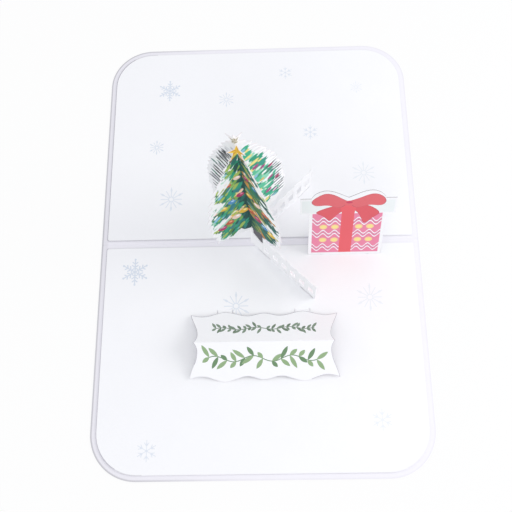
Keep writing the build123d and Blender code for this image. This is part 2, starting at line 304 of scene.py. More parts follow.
def sheet_mesh(name, flat, triangles, place, offset, inks, materials, bare_back=False, stock=STOCK):
    """Closed mesh of a bent sheet.

    Each point of the net gives two: the middle surface plus and minus half the stock along the
    mitred normal. Border edges, the ones with a single triangle, are joined by walls.
    """
    count = len(flat)
    points = np.concatenate([place + offset * stock / 2, place - offset * stock / 2]) * MM
    a, b, c = place[triangles].transpose(1, 0, 2)
    outward = (np.cross(b - a, c - a) * offset[triangles].mean(1)).sum(1)
    turned = outward < 0
    triangles = triangles.copy()
    triangles[turned] = triangles[turned][:, ::-1]
    sides = np.concatenate([triangles[:, [0, 1]], triangles[:, [1, 2]], triangles[:, [2, 0]]])
    keys = np.sort(sides, 1) @ np.array([count, 1])
    unique, where, times = np.unique(keys, return_index=True, return_counts=True)
    border = sides[where[times == 1]]
    walls = np.stack([border[:, 1], border[:, 0], border[:, 0] + count, border[:, 1] + count], 1)
    corners = np.concatenate([triangles.ravel(), (triangles[:, ::-1] + count).ravel(), walls.ravel()])
    lengths = np.concatenate([np.full(2 * len(triangles), 3), np.full(len(walls), 4)])
    mesh = bpy.data.meshes.new(name)
    mesh.vertices.add(len(points))
    mesh.vertices.foreach_set("co", points.astype(np.float32).ravel())
    mesh.loops.add(len(corners))
    mesh.loops.foreach_set("vertex_index", corners.astype(np.int32))
    mesh.polygons.add(len(lengths))
    mesh.polygons.foreach_set("loop_start", (np.cumsum(lengths) - lengths).astype(np.int32))
    wall_faces = np.zeros(len(lengths), np.int32)
    wall_faces[2 * len(triangles) :] = 1
    mesh.update(calc_edges=True)
    mesh.polygons.foreach_set("material_index", wall_faces)
    front = np.repeat(inks, 3, 0)
    back = np.tile(colour(WHITE), (len(front), 1)) if bare_back else front
    edge = np.tile(colour(WHITE), (4 * len(walls), 1))
    ink = mesh.color_attributes.new("ink", "FLOAT_COLOR", "CORNER")
    ink.data.foreach_set("color", np.concatenate([front, back, edge]).astype(np.float32).ravel())
    layout = mesh.uv_layers.new(name="pattern")
    layout.data.foreach_set("uv", np.concatenate([flat, flat])[corners].astype(np.float32).ravel())
    for material in materials:
        mesh.materials.append(material)
    mesh.validate()
    mesh.shade_flat()
    body = bpy.data.objects.new(name, mesh)
    bpy.context.scene.collection.objects.link(body)
    print(f"{name}: {len(lengths)} faces from {len(triangles)} triangles of its net")
    return body


def ink_table(shapes):
    """One linear colour for each printed shape, with the bare paper as the last row."""
    return np.array([colour(shape[1]) for shape in shapes] + [colour(WHITE)])


# %% Flat shapes that the prints are drawn with
def ring(x, y, rx, ry=None, count=20):
    """Ellipse: x plus rx times the cosine and y plus ry times the sine of an even turn."""
    turn = np.arange(count) * 2 * np.pi / count
    return np.stack([x + rx * np.cos(turn), y + (ry or rx) * np.sin(turn)], 1)


def box(x0, y0, x1, y1):
    return np.array([(x0, y0), (x1, y0), (x1, y1), (x0, y1)], float)


def band(points, width):
    """Ribbon of even width along points: each point moved to both sides by a mitred normal."""
    points = np.asarray(points, float)
    heading = unit(np.diff(points, axis=0))
    right = np.stack([heading[:, 1], -heading[:, 0]], 1)
    ends = np.concatenate([right[:1], right])
    starts = np.concatenate([right, right[-1:]])
    mitre = (ends + starts) / (1 + (ends * starts).sum(1))[:, None]
    return np.concatenate([points + mitre * width / 2, (points - mitre * width / 2)[::-1]])


def curve(points, start, end, count=10):
    """Cubic spline through points that sets out and arrives in two given directions.

    With h the distance between neighbours, the slope m at each inner point solves
    m0 / h0 + 2 m1 (1 / h0 + 1 / h1) + m2 / h1 = 3 ((p1 - p0) / h0^2 + (p2 - p1) / h1^2).
    """
    points = np.asarray(points, float)
    h = np.linalg.norm(np.diff(points, axis=0), axis=1)
    system = np.eye(len(points))
    target = np.empty_like(points)
    target[0], target[-1] = unit(np.array([start, end], float))
    inner = np.arange(1, len(points) - 1)
    system[inner, inner - 1] = 1 / h[:-1]
    system[inner, inner] = 2 * (1 / h[:-1] + 1 / h[1:])
    system[inner, inner + 1] = 1 / h[1:]
    rates = np.diff(points, axis=0) / h[:, None] ** 2
    target[inner] = 3 * (rates[:-1] + rates[1:])
    slopes = np.linalg.solve(system, target)
    t = (np.arange(count) / count)[None, :, None]
    p0, p1, s0, s1 = (a[:, None, :] for a in (points[:-1], points[1:], slopes[:-1], slopes[1:]))
    s0, s1 = s0 * h[:, None, None], s1 * h[:, None, None]
    line = (2 * t**3 - 3 * t**2 + 1) * p0 + (t**3 - 2 * t**2 + t) * s0
    line = line + (3 * t**2 - 2 * t**3) * p1 + (t**3 - t**2) * s1
    return np.concatenate([line.reshape(-1, 2), points[-1:]])


print("pattern tools ready")

# %% [markdown]
# ## The pages
#
# Each leaf has a printed page glued on, with round outer corners and slits where the tabs of the
# pop-up pieces go through. The print is a loose scatter of pale snowflakes of three kinds: a
# branched star, a ring with twelve rays and a small forked one. A snowflake has six equal
# sectors, so one arm is drawn and turned five times. A fine line of painted shade along the
# page's cut edge is darkest at the left, fades at the corners, and is stronger again along the fold.

# %% Snowflakes
def turned(points, degrees, x=0.0, y=0.0):
    """Points turned about the origin by an angle and then moved: a plane rotation."""
    angle = math.radians(degrees)
    turn = np.array([(math.cos(angle), math.sin(angle)), (-math.sin(angle), math.cos(angle))])
    return np.asarray(points, float) @ turn + (x, y)


def snowflake(x, y, size, kind, ink):
    """Printed shapes of one snowflake of the given radius."""
    line = max(0.09 * size, 0.32)
    arm = []
    if kind == "branched":
        arm += [band([(0.0, 0.0), (size, 0.0)], line)]
        for start, reach in ((0.36, 0.3), (0.62, 0.26)):
            for side in (-1, 1):
                tip = (size * (start + reach * 0.6), side * size * reach * 0.8)
                arm.append(band([(size * start, 0.0), tip], line))
        arm.append(ring(size * 0.98, 0.0, line * 0.9, count=8))
        arm.append(band([turned([(size * 0.3, 0)], a)[0] for a in (-30, 30)], line))
    if kind == "rays":
        arm += [band([(size * 0.2, 0.0), (size, 0.0)], line * 0.7)]
        arm += [ring(size * 0.76, 0.0, size * 0.15, line * 0.85, count=10)]
        arm.append(turned(band([(size * 0.2, 0.0), (size * 0.82, 0.0)], line * 0.7), 30))
        arm.append(band([turned([(size * 0.2, 0)], a)[0] for a in (0, 30, 60)], line * 0.8))
    if kind == "forked":
        arm += [band([(0.0, 0.0), (size, 0.0)], line * 0.7)]
        for side in (-1, 1):
            arm.append(band([(size * 0.44, 0.0), (size * 0.76, side * size * 0.23)], line * 0.8))
        arm.append(ring(size * 0.62, 0.0, size * 0.12, size * 0.08, count=8))
    shapes = [(turned(part, 90 + 60 * k, x, y), ink) for k in range(6) for part in arm]
    if kind == "forked":
        shapes.append((ring(x, y, size * 0.13, count=12), ink))
    return shapes


NEAR_INK, MID_INK, FAINT_INK = "#D9E0EB", "#E1E6EF", "#EBEEF3"
upper_flakes = [
    (-53.8, 100.6, 6.8, "branched", NEAR_INK),
    (-19.0, 93.5, 5.2, "rays", MID_INK),
    (17.4, 111.6, 4.5, "forked", MID_INK),
    (60.4, 100.0, 4.2, "rays", FAINT_INK),
    (-60.6, 61.7, 4.8, "rays", NEAR_INK),
    (31.4, 69.6, 4.9, "forked", MID_INK),
    (61.6, 41.9, 7.4, "rays", FAINT_INK),
    (-51.0, 27.6, 7.6, "rays", MID_INK),
]
lower_flakes = [
    (-70.2, -16.7, 7.6, "branched", NEAR_INK),
    (-13.3, -37.7, 8.2, "rays", MID_INK),
    (60.5, -34.0, 8.0, "rays", FAINT_INK),
    (62.8, -100.6, 5.6, "forked", FAINT_INK),
    (-59.9, -114.7, 5.6, "forked", MID_INK),
]
print("snowflakes:", len(upper_flakes), "far,", len(lower_flakes), "near")

# %% Page outlines and slits
def rounded(x0, y0, x1, y1, radii, count=12):
    """Rectangle with its own radius at each corner, in turn from the lower left one."""
    parts = []
    corners = ((x0, y0, 180), (x1, y0, 270), (x1, y1, 0), (x0, y1, 90))
    for (x, y, start), radius in zip(corners, radii):
        cx = x + (radius if x == x0 else -radius)
        cy = y + (radius if y == y0 else -radius)
        angle = np.radians(start + 90 * np.arange(count + 1) / count)
        parts.append(np.stack([cx + radius * np.cos(angle), cy + radius * np.sin(angle)], 1))
    return np.concatenate(parts)


def slit(x, y, length, width, degrees=0.0):
    return turned(box(-length / 2, -width / 2, length / 2, width / 2), degrees, x, y)


LINER = 0.25
LEG = 44.8  # half angle of the strut's V
far_slits = [slit(2.85, 7.399, 9.5, 0.8, LEG), slit(25.912, 30.299, 9.5, 0.8, LEG)]
far_slits.append(slit(47.5, 8.649, 24.5, 0.8))
near_slits = [slit(2.85, -7.399, 9.5, 0.8, -LEG), slit(25.912, -30.299, 9.5, 0.8, -LEG)]
near_slits += [slit(x, -40.62, 8.5, 2.07) for x in (-19.3, 23.1)]
near_slits.append(slit(47.5, -8.371, 26.5, 0.942))
far_page = rounded(-87, 2.2, 87, 127, (1, 1, 22, 22))
near_page = rounded(-87, -127, 87, -2.2, (22, 22, 1, 1))
EDGE_SHADE_WIDTH = 0.35  # width of the painted shade line along a page's cut edge

# The first four inks of each page are painted shade along its cut edge: all round, over the left part, at the
# far left and along the fold.
for name, outline, slits, flakes, (line, left_shade, leftmost_shade, fold_shade) in (
    ("page_far", far_page, far_slits, upper_flakes, ("#EEEDF1", "#D6D4DA", "#B7B5BD", "#C6C4CC")),
    ("page_near", near_page, near_slits, lower_flakes, ("#F2F1F5", "#DFDEE3", "#C6C4CC", "#E2E1E6")),
):
    middle = outline.mean(0)
    inner = outline - EDGE_SHADE_WIDTH * np.sign(outline - middle)
    shapes = [(outline, line), (box(-90, -130, -62, 130), left_shade)]
    shapes.append((box(-90, -130, -76, 130), leftmost_shade))
    shapes += [(box(-86, -4, 40, 4), fold_shade), (inner, WHITE)]
    shapes += [shape for flake in flakes for shape in snowflake(*flake)]
    flat, triangles, top = net([outline], shapes, slits)
    place = np.column_stack([flat, np.full(len(flat), PAGE - LINER / 2)])
    offset = np.zeros_like(place)
    offset[:, 2] = 1
    inks = ink_table(shapes)[top]
    page = sheet_mesh(
        name, flat, triangles, place, offset, inks, [page_paper, plain_paper],
        bare_back=True, stock=LINER,
    )
    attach(page, "root")
    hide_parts("upper_liner" if name == "page_far" else "lower_liner")

# %% [markdown]
# ## Cover, strut and the gift's support
#
# These three are bare paper and card whose shape the solids already have, with the windows,
# horns and score. Only their stock is missing, so each gets the plain stock it is made of.

# %% Stock for the bare pieces
for name, stock in (
    ("cover", cover_card), ("ladder_strut", plain_paper), ("gift_support", plain_paper),
):
    mesh = nodes[name].data
    mesh.materials.clear()
    mesh.materials.append(stock)
    print(name, "in", stock.name)

# %% [markdown]
# ## The gift
#
# One die-cut panel with a white border: a pink box with wavy double lines and yellow dots, a
# pale lid, a coral ribbon and a big bow. It is folded once at its foot, where its tab goes
# through the page. The print is drawn with its foot at zero and its middle line at X zero.

# %% The bow and the box
BOX_PINK, WAVE_WHITE, BETWEEN = "#E988A6", "#FAEEF5", "#B6668D"
DOT, DOT_HEART = "#F6D49A", "#F7E493"
RIBBON, BOW, TAIL = "#E8646C", "#E06C73", "#DE5F68"
BOW_RIM, TAIL_RIM, KNOT = "#B9606A", "#C4525C", "#CF4763"
LID = "#EDF2F3"
RISE = 1.8  # bare paper under the print


def wave(level, x0, x1, thick, swing=1.5):
    """Zigzag line: a level plus a swing times the cosine of 2 pi x over 6.25, as a ribbon."""
    x = np.linspace(x0, x1, 41)
    line = level + swing * np.cos(2 * np.pi * x / 6.25)
    return np.concatenate([np.stack([x, line + thick / 2], 1), np.stack([x, line - thick / 2], 1)[::-1]])


gift_print = [(box(-24.2, 34.2, 24.2, 43.4), LID), (box(-18.5, RISE, 18.5, 33.6), BOX_PINK)]
for level in (27.5, 17.6, 6.4):
    for x0, x1 in ((-18.5, -3.2), (3.2, 18.5)):
        gift_print.append((wave(level, x0, x1, 3.6), WAVE_WHITE))
        gift_print.append((wave(level, x0, x1, 1.6), BETWEEN))
        gift_print.append((wave(level, x0, x1, 0.9), BOX_PINK))
for level in (23.1, 12.5):
    for x in (-12.4, -6.2, 6.6, 12.6):
        gift_print.append((ring(x, level, 2.1, 1.9), DOT))
        gift_print.append((ring(x, level, 1.4, 1.1), DOT_HEART))
left_tail = [
    (0.5, 40.6), (-6.5, 39.6), (-12.5, 37.4), (-16.6, 34.4), (-12.6, 31.4), (-9.4, 28.4),
    (-6.4, 31.6), (-3.0, 35.2), (0.5, 40.6),
]
right_tail = [
    (0.5, 40.6), (8.4, 40.2), (13.6, 37.6), (16.6, 33.6), (13.6, 30.2), (9.2, 26.2),
    (7.0, 30.6), (4.8, 34.6), (0.5, 40.6),
]
left_lobe = [
    (0.0, 42.9), (-5.2, 46.2), (-11.4, 48.7), (-16.2, 46.4), (-19.1, 41.8), (-17.8, 40.2),
    (-11.0, 39.9), (-4.0, 38.2), (0.0, 42.9),
]
right_lobe = [
    (0.0, 42.9), (6.6, 45.8), (13.2, 48.2), (17.4, 46.4), (19.4, 41.8), (18.2, 40.0),
    (11.0, 39.8), (4.0, 38.2), (0.0, 42.9),
]
for points, way in ((left_tail, -1), (right_tail, 1)):
    tail = curve(points, (way, 0.0), (-way * 0.3, 1), 8)[:-1]
    gift_print.append((tail, TAIL_RIM))
    gift_print.append((tail.mean(0) + (tail - tail.mean(0)) * 0.95, TAIL))
ribbon = np.array([(-3.4, RISE), (3.4, RISE), (3.6, 34.0), (4.8, 40.5), (-4.2, 40.5), (-3.1, 34.0)])
gift_print.append((ribbon, RIBBON))
for points in (left_lobe, right_lobe):
    way = np.sign(points[1][0])
    lobe = curve(points, (way, 0.4), (-way * 0.4, 1), 8)[:-1]
    gift_print.append((lobe, BOW_RIM))
    gift_print.append((lobe.mean(0) + (lobe - lobe.mean(0)) * 0.965, BOW))
gift_print.append((ring(0.6, 41.4, 3.0, 1.9), BOW))
gift_print.append((ring(0.5, 42.0, 1.7, 0.8), KNOT))
print("gift print:", len(gift_print), "shapes")

# %% Cut, fold and lean the gift
LEAN = math.radians(19.5)
lobes = curve([(19.3, 44.9), (13.4, 50.4), (0.0, 45.6)], (-0.3, 1), (-1, -0.5), 14)
right_side = np.concatenate([[(20.3, 0), (20.3, 33.4), (25, 33.4), (25, 44.9)], lobes])
gift_outline = np.concatenate([right_side, (right_side[:-1] * (-1, 1))[::-1]])
GIFT_X, GIFT_FOOT, GIFT_FOLD, TAB_DEPTH = 47.5, -8.3, -8.4416, 6.0
foot_mark = TAB_DEPTH + (PAGE - TAB) / math.cos(LEAN)
gift_path = [
    (GIFT_FOLD - TAB_DEPTH, TAB),
    (GIFT_FOLD, TAB),
    (GIFT_FOOT + 60 * math.sin(LEAN), PAGE + 60 * math.cos(LEAN)),
]
lift = STOCK / 2 * math.tan(LEAN)
TAB_HALF, LAP = 13, 0.6  # the foot tab's half length, and how far it laps the panel
gift_outlines = [gift_outline + (0, lift), box(-TAB_HALF, -foot_mark, TAB_HALF, LAP + lift)]
gift_creases = [((-30, TAB_DEPTH - foot_mark), (30, TAB_DEPTH - foot_mark))]
flat, triangles, top = net(gift_outlines, gift_print, creases=gift_creases)
section, normal, _ = fold(gift_path, flat[:, 1] + foot_mark)
place = np.column_stack([flat[:, 0] + GIFT_X, section])
offset = np.column_stack([np.zeros(len(flat)), -normal])
gift = sheet_mesh(
    "gift_panel", flat, triangles, place, offset, ink_table(gift_print)[top],
    [gift_paper, toasted_shaded_edge], bare_back=True,
)
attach(gift, "root")
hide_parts("gift_front")

# %% [markdown]
# ## The plaque
#
# A sheet with waved long edges and bracket-shaped ends, folded once to a low tent. Two tabs at
# its far edge go through the page. Its two halves carry sage green sprigs: a stem that waves
# and pairs of leaves along it, small and sparse above the ridge and larger below it.

# %% Plaque outline and sprigs
PLAQUE_X, RIDGE_Y, RIDGE_Z, SPAN, SLOPE = 1.9, -60.4, 11.6212, 19.1047, 0.5496
HALF, WAVE = 40.0, 1.3
stretch = math.hypot(1, SLOPE)  # distance down the slope for each millimetre in plan
far_edge = [(1.0, -1.2), (0.81, -2.1), (0.53, 0.0), (0.21, -2.0), (0.0, -0.7)]
far_edge = [(share * HALF, SPAN + swing * WAVE) for share, swing in far_edge]
end = [(0.972, 0.74), (0.908, 0.42), (0.896, 0.16)]
end = [far_edge[0]] + [(wide * HALF, share * SPAN) for wide, share in end] + [(37.6, 0.0)]
quarter = np.concatenate([
    curve(end[::-1], (-1, 0.9), (0.2, 1), 8)[:-1],
    curve(far_edge, (-1, -0.3), (-1, 0), 8),
])
far_half = np.concatenate([quarter, (quarter * (-1, 1))[::-1][1:]])
plaque_outline = np.concatenate([far_half[:-1], (far_half * (1, -1))[::-1][:-1]])
plaque_outline[:, 1] *= stretch


def leaf(x, y, length, width, degrees):
    """Pointed leaf: its half width is the width times the sine of pi times the share along it."""
    share = np.linspace(0, 1, 9)
    swell = width / 2 * np.sin(np.pi * share) ** 0.8
    side = np.stack([share * length, swell], 1)
    return turned(np.concatenate([side, (side * (1, -1))[::-1][1:-1]]), degrees, x, y)


def sprig(x0, x1, y, swing, length, width, ink, dark):
    """Waved stem with pairs of leaves that lean along it, away from its middle."""
    x = np.linspace(x0, x1, 60)
    stem = y + swing * np.sin((x - x0) / (x1 - x0) * 6 * np.pi)
    shapes = [(band(np.stack([x, stem], 1), 0.5), dark)]
    count = int(round((x1 - x0) / (length * 0.62)))
    for k in range(count):
        share = (k + 0.5) / count
        px = x0 + (x1 - x0) * share
        py = y + swing * math.sin(share * 6 * math.pi)
        side = 1 if px > (x0 + x1) / 2 else -1
        for up in (-1, 1):
            lean = 48 + 14 * math.sin(k * 2.4 + up)
            degrees = up * lean if side > 0 else 180 - up * lean
            grow = 0.85 + 0.25 * math.sin(k * 1.7 + up)
            shapes.append((leaf(px, py, length * grow, width, degrees), ink if (k + up) % 3 else dark))
    return shapes


def drawn_in(loop, depth):
    """Loop moved inwards: each corner by the depth along the normal of its two neighbours."""
    along = unit(np.roll(loop, -1, 0) - np.roll(loop, 1, 0))
    inward = np.stack([-along[:, 1], along[:, 0]], 1)
    return loop + depth * inward


SAGE, SAGE_DARK, GREY_GREEN = "#93AE84", "#6E8D6A", "#7F917F"
sprigs = sprig(-26.0, 28.0, 9.4, 0.8, 4.4, 1.5, GREY_GREEN, "#6F826F")
sprigs += sprig(-30.5, 31.0, -9.2, 1.6, 7.4, 2.3, SAGE, SAGE_DARK)
sprigs = [(points - (PLAQUE_X / 2, 0), ink) for points, ink in sprigs]
# A grey line round the rim is painted shade, pale along the near edge and lighter at the right end; the
# sprigs are print.
plaque_print_and_shade = [(plaque_outline, "#B6B4BC")]
plaque_print_and_shade += [(box(-45, -45, 45, -12), "#F1F0F4"), (box(25, -30, 45, 20), "#C9C7CE")]
plaque_print_and_shade.append((drawn_in(turned_left(plaque_outline), 0.3), WHITE))
plaque_print_and_shade += sprigs
print("plaque print:", len(plaque_print_and_shade), "shapes")

# %% Cut and fold the plaque
fold_y = RIDGE_Y + (RIDGE_Z - TAB) / SLOPE
reach = SPAN + 1
plaque_path = [
    (RIDGE_Y - reach, RIDGE_Z - reach * SLOPE),
    (RIDGE_Y, RIDGE_Z),
    (fold_y, TAB),
    (fold_y + TAB_DEPTH, TAB),
]
ridge_mark = reach * stretch
tab_mark = (fold_y - RIDGE_Y) * stretch
HALF_TAB, TAB_RISE = 4, 3.9  # half a tab's width, and how far up the slope it starts
low, high = (SPAN - TAB_RISE) * stretch, tab_mark + TAB_DEPTH
tabs = [box(x - HALF_TAB, low, x + HALF_TAB, high) for x in (-21.2, 21.2)]
plaque_creases = [((-45, mark), (45, mark)) for mark in (0.0, tab_mark)]
flat, triangles, top = net([plaque_outline, *tabs], plaque_print_and_shade, creases=plaque_creases)
section, normal, _ = fold(plaque_path, flat[:, 1] + ridge_mark)
place = np.column_stack([flat[:, 0] + PLAQUE_X, section])
offset = np.column_stack([np.zeros(len(flat)), -normal])
plaque = sheet_mesh(
    "plaque_tent", flat, triangles, place, offset, ink_table(plaque_print_and_shade)[top],
    [page_paper, pale_edge], bare_back=True,
)
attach(plaque, "root")
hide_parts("plaque")

# %% [markdown]
# ## The tree
#
# Two creased sheets stand back to back and make a cross. Their edges are cut ragged like the
# tips of boughs, and a star ends the crease. The print is brushed: many short tapered strokes
# that fall outwards from the crease, with garlands and baubles on top. Each stroke is a ten
# sided shape with a notched tip, and each layer of strokes is laid out at once. A dark patch
# low on each sheet's tongue, by the strut, is painted shade.

# %% Outline of a tree half
TREE_HEIGHT, STAR_DROP, HOVER = 95.5, 6.0, 0.4
STAR, STAR_INNER = 5.4, 2.4
TUFTS, TUFT_DEPTH, TUFT_HANG, TUFT_SWAY = 15, 2.6, 3.8, 0.9
HEM, HEM_DEPTH = 7, 1.6
NEAR_WIDE, NEAR_HEMS = 22.5, (-1.5, 5.0)  # widest half, and how far each half's hem rises
FAR_WIDE, FAR_HEMS = 28.2, (10.0, 10.0)


def half_width(share, widest):
    """Half width: the widest size times the sine of a quarter turn times share over 0.77."""
    return widest * np.abs(np.sin(np.pi / 2 * np.minimum(share, 1.0) / 0.77))


def ragged(index):
    """Golden-ratio sequence between 0 and 1, uneven from each number to the next."""
    return np.mod((index + 1) * (math.sqrt(5) - 1) / 2, 1.0)


def tree_half(widest, hem_rise):
    """Outline of one half from the top of the boughs to the crease: tufts, then a ragged hem."""
    top = TREE_HEIGHT - STAR_DROP
    k = np.arange(TUFTS)
    tip = top - (k + 1) * (top - hem_rise) / TUFTS
    notch = tip + TUFT_HANG
    notch_width = half_width(1 - notch / TREE_HEIGHT, widest)
    depth = TUFT_DEPTH * (1 + ragged(k)) / 2
    notch_width = np.maximum(notch_width - depth, notch_width / 2)
    tip_width = half_width(1 - tip / TREE_HEIGHT, widest) + TUFT_SWAY * (ragged(k + 1) - 1)
    side = np.stack([notch_width, notch, tip_width, tip], 1).reshape(-1, 2)
    k = np.arange(HEM)
    step = 1 / (HEM + 1)
    share = 1 - (k + 1) * step
    level = HOVER + hem_rise * share**2
    drop = level - HEM_DEPTH * ragged(k) * share
    wide = tip_width[-1]
    hem = np.stack([wide * share, level + HEM_DEPTH, wide * (share - step / 2), drop], 1)
    return np.concatenate([[(0, top)], side, hem.reshape(-1, 2), [(0, HOVER)]])


def star(radius, inner, x, y):
    """Five-pointed star: the radius alternates between two values over ten even turns."""
    turn = np.radians(90 + 36 * np.arange(10))
    size = np.where(np.arange(10) % 2 == 0, radius, inner)
    return np.stack([x + size * np.cos(turn), y + size * np.sin(turn)], 1)


# %% Brush strokes
STROKE = np.array([
    (0.0, 0.1), (0.14, 0.75), (0.5, 1.0), (0.96, 0.7), (0.84, 0.35),
    (1.04, 0.05), (0.8, -0.3), (0.93, -0.75), (0.5, -1.0), (0.14, -0.75),
])


def brushed(rng, half, roots, fall, length, width, inks, inset=(1.2, 2.8), sag=0.1):
    """Ten-sided strokes from an array of roots, each with an ink picked by chance.

    A stroke falls outwards at an angle and sags by a share of its length times the square of
    the way along it. It is cut so that its tip keeps inside the outline and over the hem.
    """
    widest, hem_rise = half
    count = len(roots)
    angle = np.radians(fall + rng.uniform(-7, 7, count))
    run = np.stack([np.cos(angle), -np.sin(angle)], 1)
    size = rng.uniform(*length, count)
    tips = roots + run * size[:, None]
    limit = half_width(1 - tips[:, 1] / TREE_HEIGHT, widest) - rng.uniform(*inset, count)
    size *= np.clip((limit - roots[:, 0]) / np.maximum(tips[:, 0] - roots[:, 0], 0.1), 0, 1)
    tips = roots + run * size[:, None]
    hem = HOVER + hem_rise * (tips[:, 0] / widest) ** 2 + 0.8
    size -= np.maximum(hem - tips[:, 1], 0) / np.maximum(np.sin(angle), 0.3)
    keep = size > 1.8
    roots, run, size = roots[keep], run[keep], size[keep]
    wide = rng.uniform(*width, len(size)) * np.minimum(1, size / 5)
    over = np.stack([-run[:, 1], run[:, 0]], 1)
    along = STROKE[None, :, :1] * size[:, None, None]
    aside = STROKE[None, :, 1:] * wide[:, None, None] / 2 - sag * along**2 / size[:, None, None]
    strokes = roots[:, None] + along * run[:, None] + aside * over[:, None]
    strokes[:, :, 0] += np.maximum(0.03 - strokes[:, :, 0].min(1), 0)[:, None]
    picked = rng.integers(0, len(inks), len(size))
    return [(stroke, inks[k]) for stroke, k in zip(strokes, picked)]


def mirrored(shapes):
    return [(points * (-1, 1), ink) for points, ink in shapes]


def bauble(x, y, size, ink, shine):
    """Round ball with a paler patch of light on its upper left."""
    return [
        (ring(x, y, size, size, 16), ink),
        (ring(x - 0.28 * size, y + 0.3 * size, 0.42 * size, 0.3 * size, 8), shine),
    ]


# %% Inks of the tree
SPINE, TEAL, GREEN, EMERALD = "#0B4A46", "#176A5F", "#1F7D5B", "#27A07C"
MOSS, LIME, MINT, SNOW = "#54803F", "#A3BF5A", "#A9D8C0", "#F4F6F6"
MAROON, BERRY, RUST, OCHRE = "#7F2F2E", "#AE2F66", "#C2573A", "#C98F3F"
GOLD, LEMON, PEACH, SKY, BLUE = "#E5BE3E", "#EFE08A", "#F2D3C6", "#8CC3DE", "#4C8FC6"
CHARCOAL, SLATE, ASH, SMOKE = "#31363C", "#555B62", "#8A8E96", "#C9CAD0"


# %% Tiers of boughs with garlands
def tier_roots(rng, half, top, drop, count, depth, near=0.0, far=0.95):
    """Roots of one tier, lowest first: a jittered spread under a line that falls outwards."""
    widest = half[0]
    down = np.linspace(depth[1], depth[0], count)
    share = near + (far - near) * ragged(np.arange(count) + rng.integers(0, 50))
    level = top - down * drop
    wide = half_width(1 - np.clip(level, 0, None) / TREE_HEIGHT, widest)
    x = share * wide
    return np.stack([x, level - 0.62 * x], 1)


def tree_print(rng, half, tops, fall, boughs, light, fringe, lively, swags, balls):
    """Print of a half of the near tree, from its lowest tier up.

    Each tier has pale fringe strokes, deep boughs, lights, livelier strokes and a dark heart by
    the crease, a swag of short strokes along its upper line and a few baubles under the swag.
    """
    widest, hem_rise = half
    heart = [(0.03, 88), (3.0, 62), (6.4, 30), (7.5, 11), (4.0, 4.0), (0.03, 2.8)]
    shapes = [(np.array(heart), SPINE)]
    for k in reversed(range(len(tops) - 1)):
        top, drop = tops[k], tops[k] - tops[k + 1]
        size = 5.0 + 1.6 * k
        roots = tier_roots(rng, half, top, drop, 24 + 6 * k, (0.4, 1.15), 0.4)
        shapes += brushed(rng, half, roots, fall, (size, size + 4), (1.2, 2.4), fringe)
        roots = tier_roots(rng, half, top, drop, 20 + 7 * k, (0.05, 0.75), 0.0, 0.8)
        shapes += brushed(rng, half, roots, fall, (size, size + 3), (1.8, 3.2), boughs, (2.0, 5.5))
        roots = tier_roots(rng, half, top, drop, 16 + 5 * k, (0.1, 0.8), 0.2)
        shapes += brushed(rng, half, roots, fall, (3.0, 7.0), (0.8, 2.0), light, (1.6, 3.6))
        roots = tier_roots(rng, half, top, drop, 9 + 4 * k, (0.0, 0.9), 0.0, 0.5)
        shapes += brushed(rng, half, roots, fall + 4, (4.5, 8.5), (1.1, 2.4), lively)
        roots = np.stack([rng.uniform(0.2, 1.2 + 0.4 * k, 4 + k), top - rng.uniform(0, 0.6, 4 + k) * drop], 1)
        shapes += brushed(rng, half, roots, fall + 14, (4.0, 7.0), (1.4, 2.6), (SPINE, SPINE, TEAL))
        wide = half_width(1 - (top - 4) / TREE_HEIGHT, widest) * 0.8
        x = np.linspace(0.05, 1, 8 + 4 * k) * wide
        y = top - 0.9 * x + 1.4 * np.sin(np.pi * x / wide * 1.5)
        swag = np.stack([x, y], 1)
        under = swag - (0, 1.3)
        shapes += brushed(rng, half, under, fall - 8, (3.2, 5.0), (1.0, 1.5), (MAROON, MOSS, SPINE))
        shapes.append((band(swag[:-2], 0.9 + 0.2 * k), "#C3AE48"))
        shapes += brushed(rng, half, swag, fall - 8, (4.2, 6.8), (1.8, 2.9), swags)
        count = (0, 2, 3, 4)[k]
        for n in range(count):
            share = (n + 0.55) / (count + 0.1)
            ball = 1.4 + 0.38 * k
            place = (share * wide, top - 0.9 * share * wide - 2.4 - 0.5 * k)
            ink, shine = balls[(n + 2 * k + 1) % len(balls)]
            shapes += bauble(*place, ball, ink, shine)
    return shapes


def scattered(rng, half, count, near, far, low, high):
    """Roots spread over a half between two shares of its width and two levels, lowest first."""
    level = np.linspace(low, high, count)
    share = near + (far - near) * ragged(np.arange(count) + rng.integers(0, 50))
    return np.stack([share * half_width(1 - level / TREE_HEIGHT, half[0]), level], 1)


TOPS = (88, 71, 53, 34, 8)
BALLS = ((BERRY, "#E08AAE"), (BLUE, "#BFE0F2"), (GOLD, "#FBEFB4"), (PEACH, "#FFFFFF"), (RUST, "#F0B48A"))
rng = np.random.default_rng(12)
near_left = tree_print(
    rng, (NEAR_WIDE, NEAR_HEMS[0]), TOPS, 50, (TEAL, GREEN, EMERALD, "#159070"),
    (LIME, SNOW, MINT, SPINE, LIME, MOSS, SKY),
    (SNOW, SNOW, EMERALD, SNOW, SNOW, MINT), (LIME, MOSS, GREEN, "#7FB04E", EMERALD, "#2E7F86", EMERALD),
    (GOLD, LIME, LIME, LEMON, PEACH), BALLS,
)
near_right = tree_print(
    rng, (NEAR_WIDE, NEAR_HEMS[1]), TOPS, 46, (SPINE, TEAL, GREEN, "#2C6A5E"),
    (LIME, SPINE, SNOW, TEAL, SPINE),
    (SNOW, SNOW, TEAL, SNOW), (MOSS, "#8A9A4A", GREEN, "#5F8F8C", OCHRE, TEAL),
    (GOLD, OCHRE, LIME, PEACH), BALLS[2:] + BALLS[:2],
)

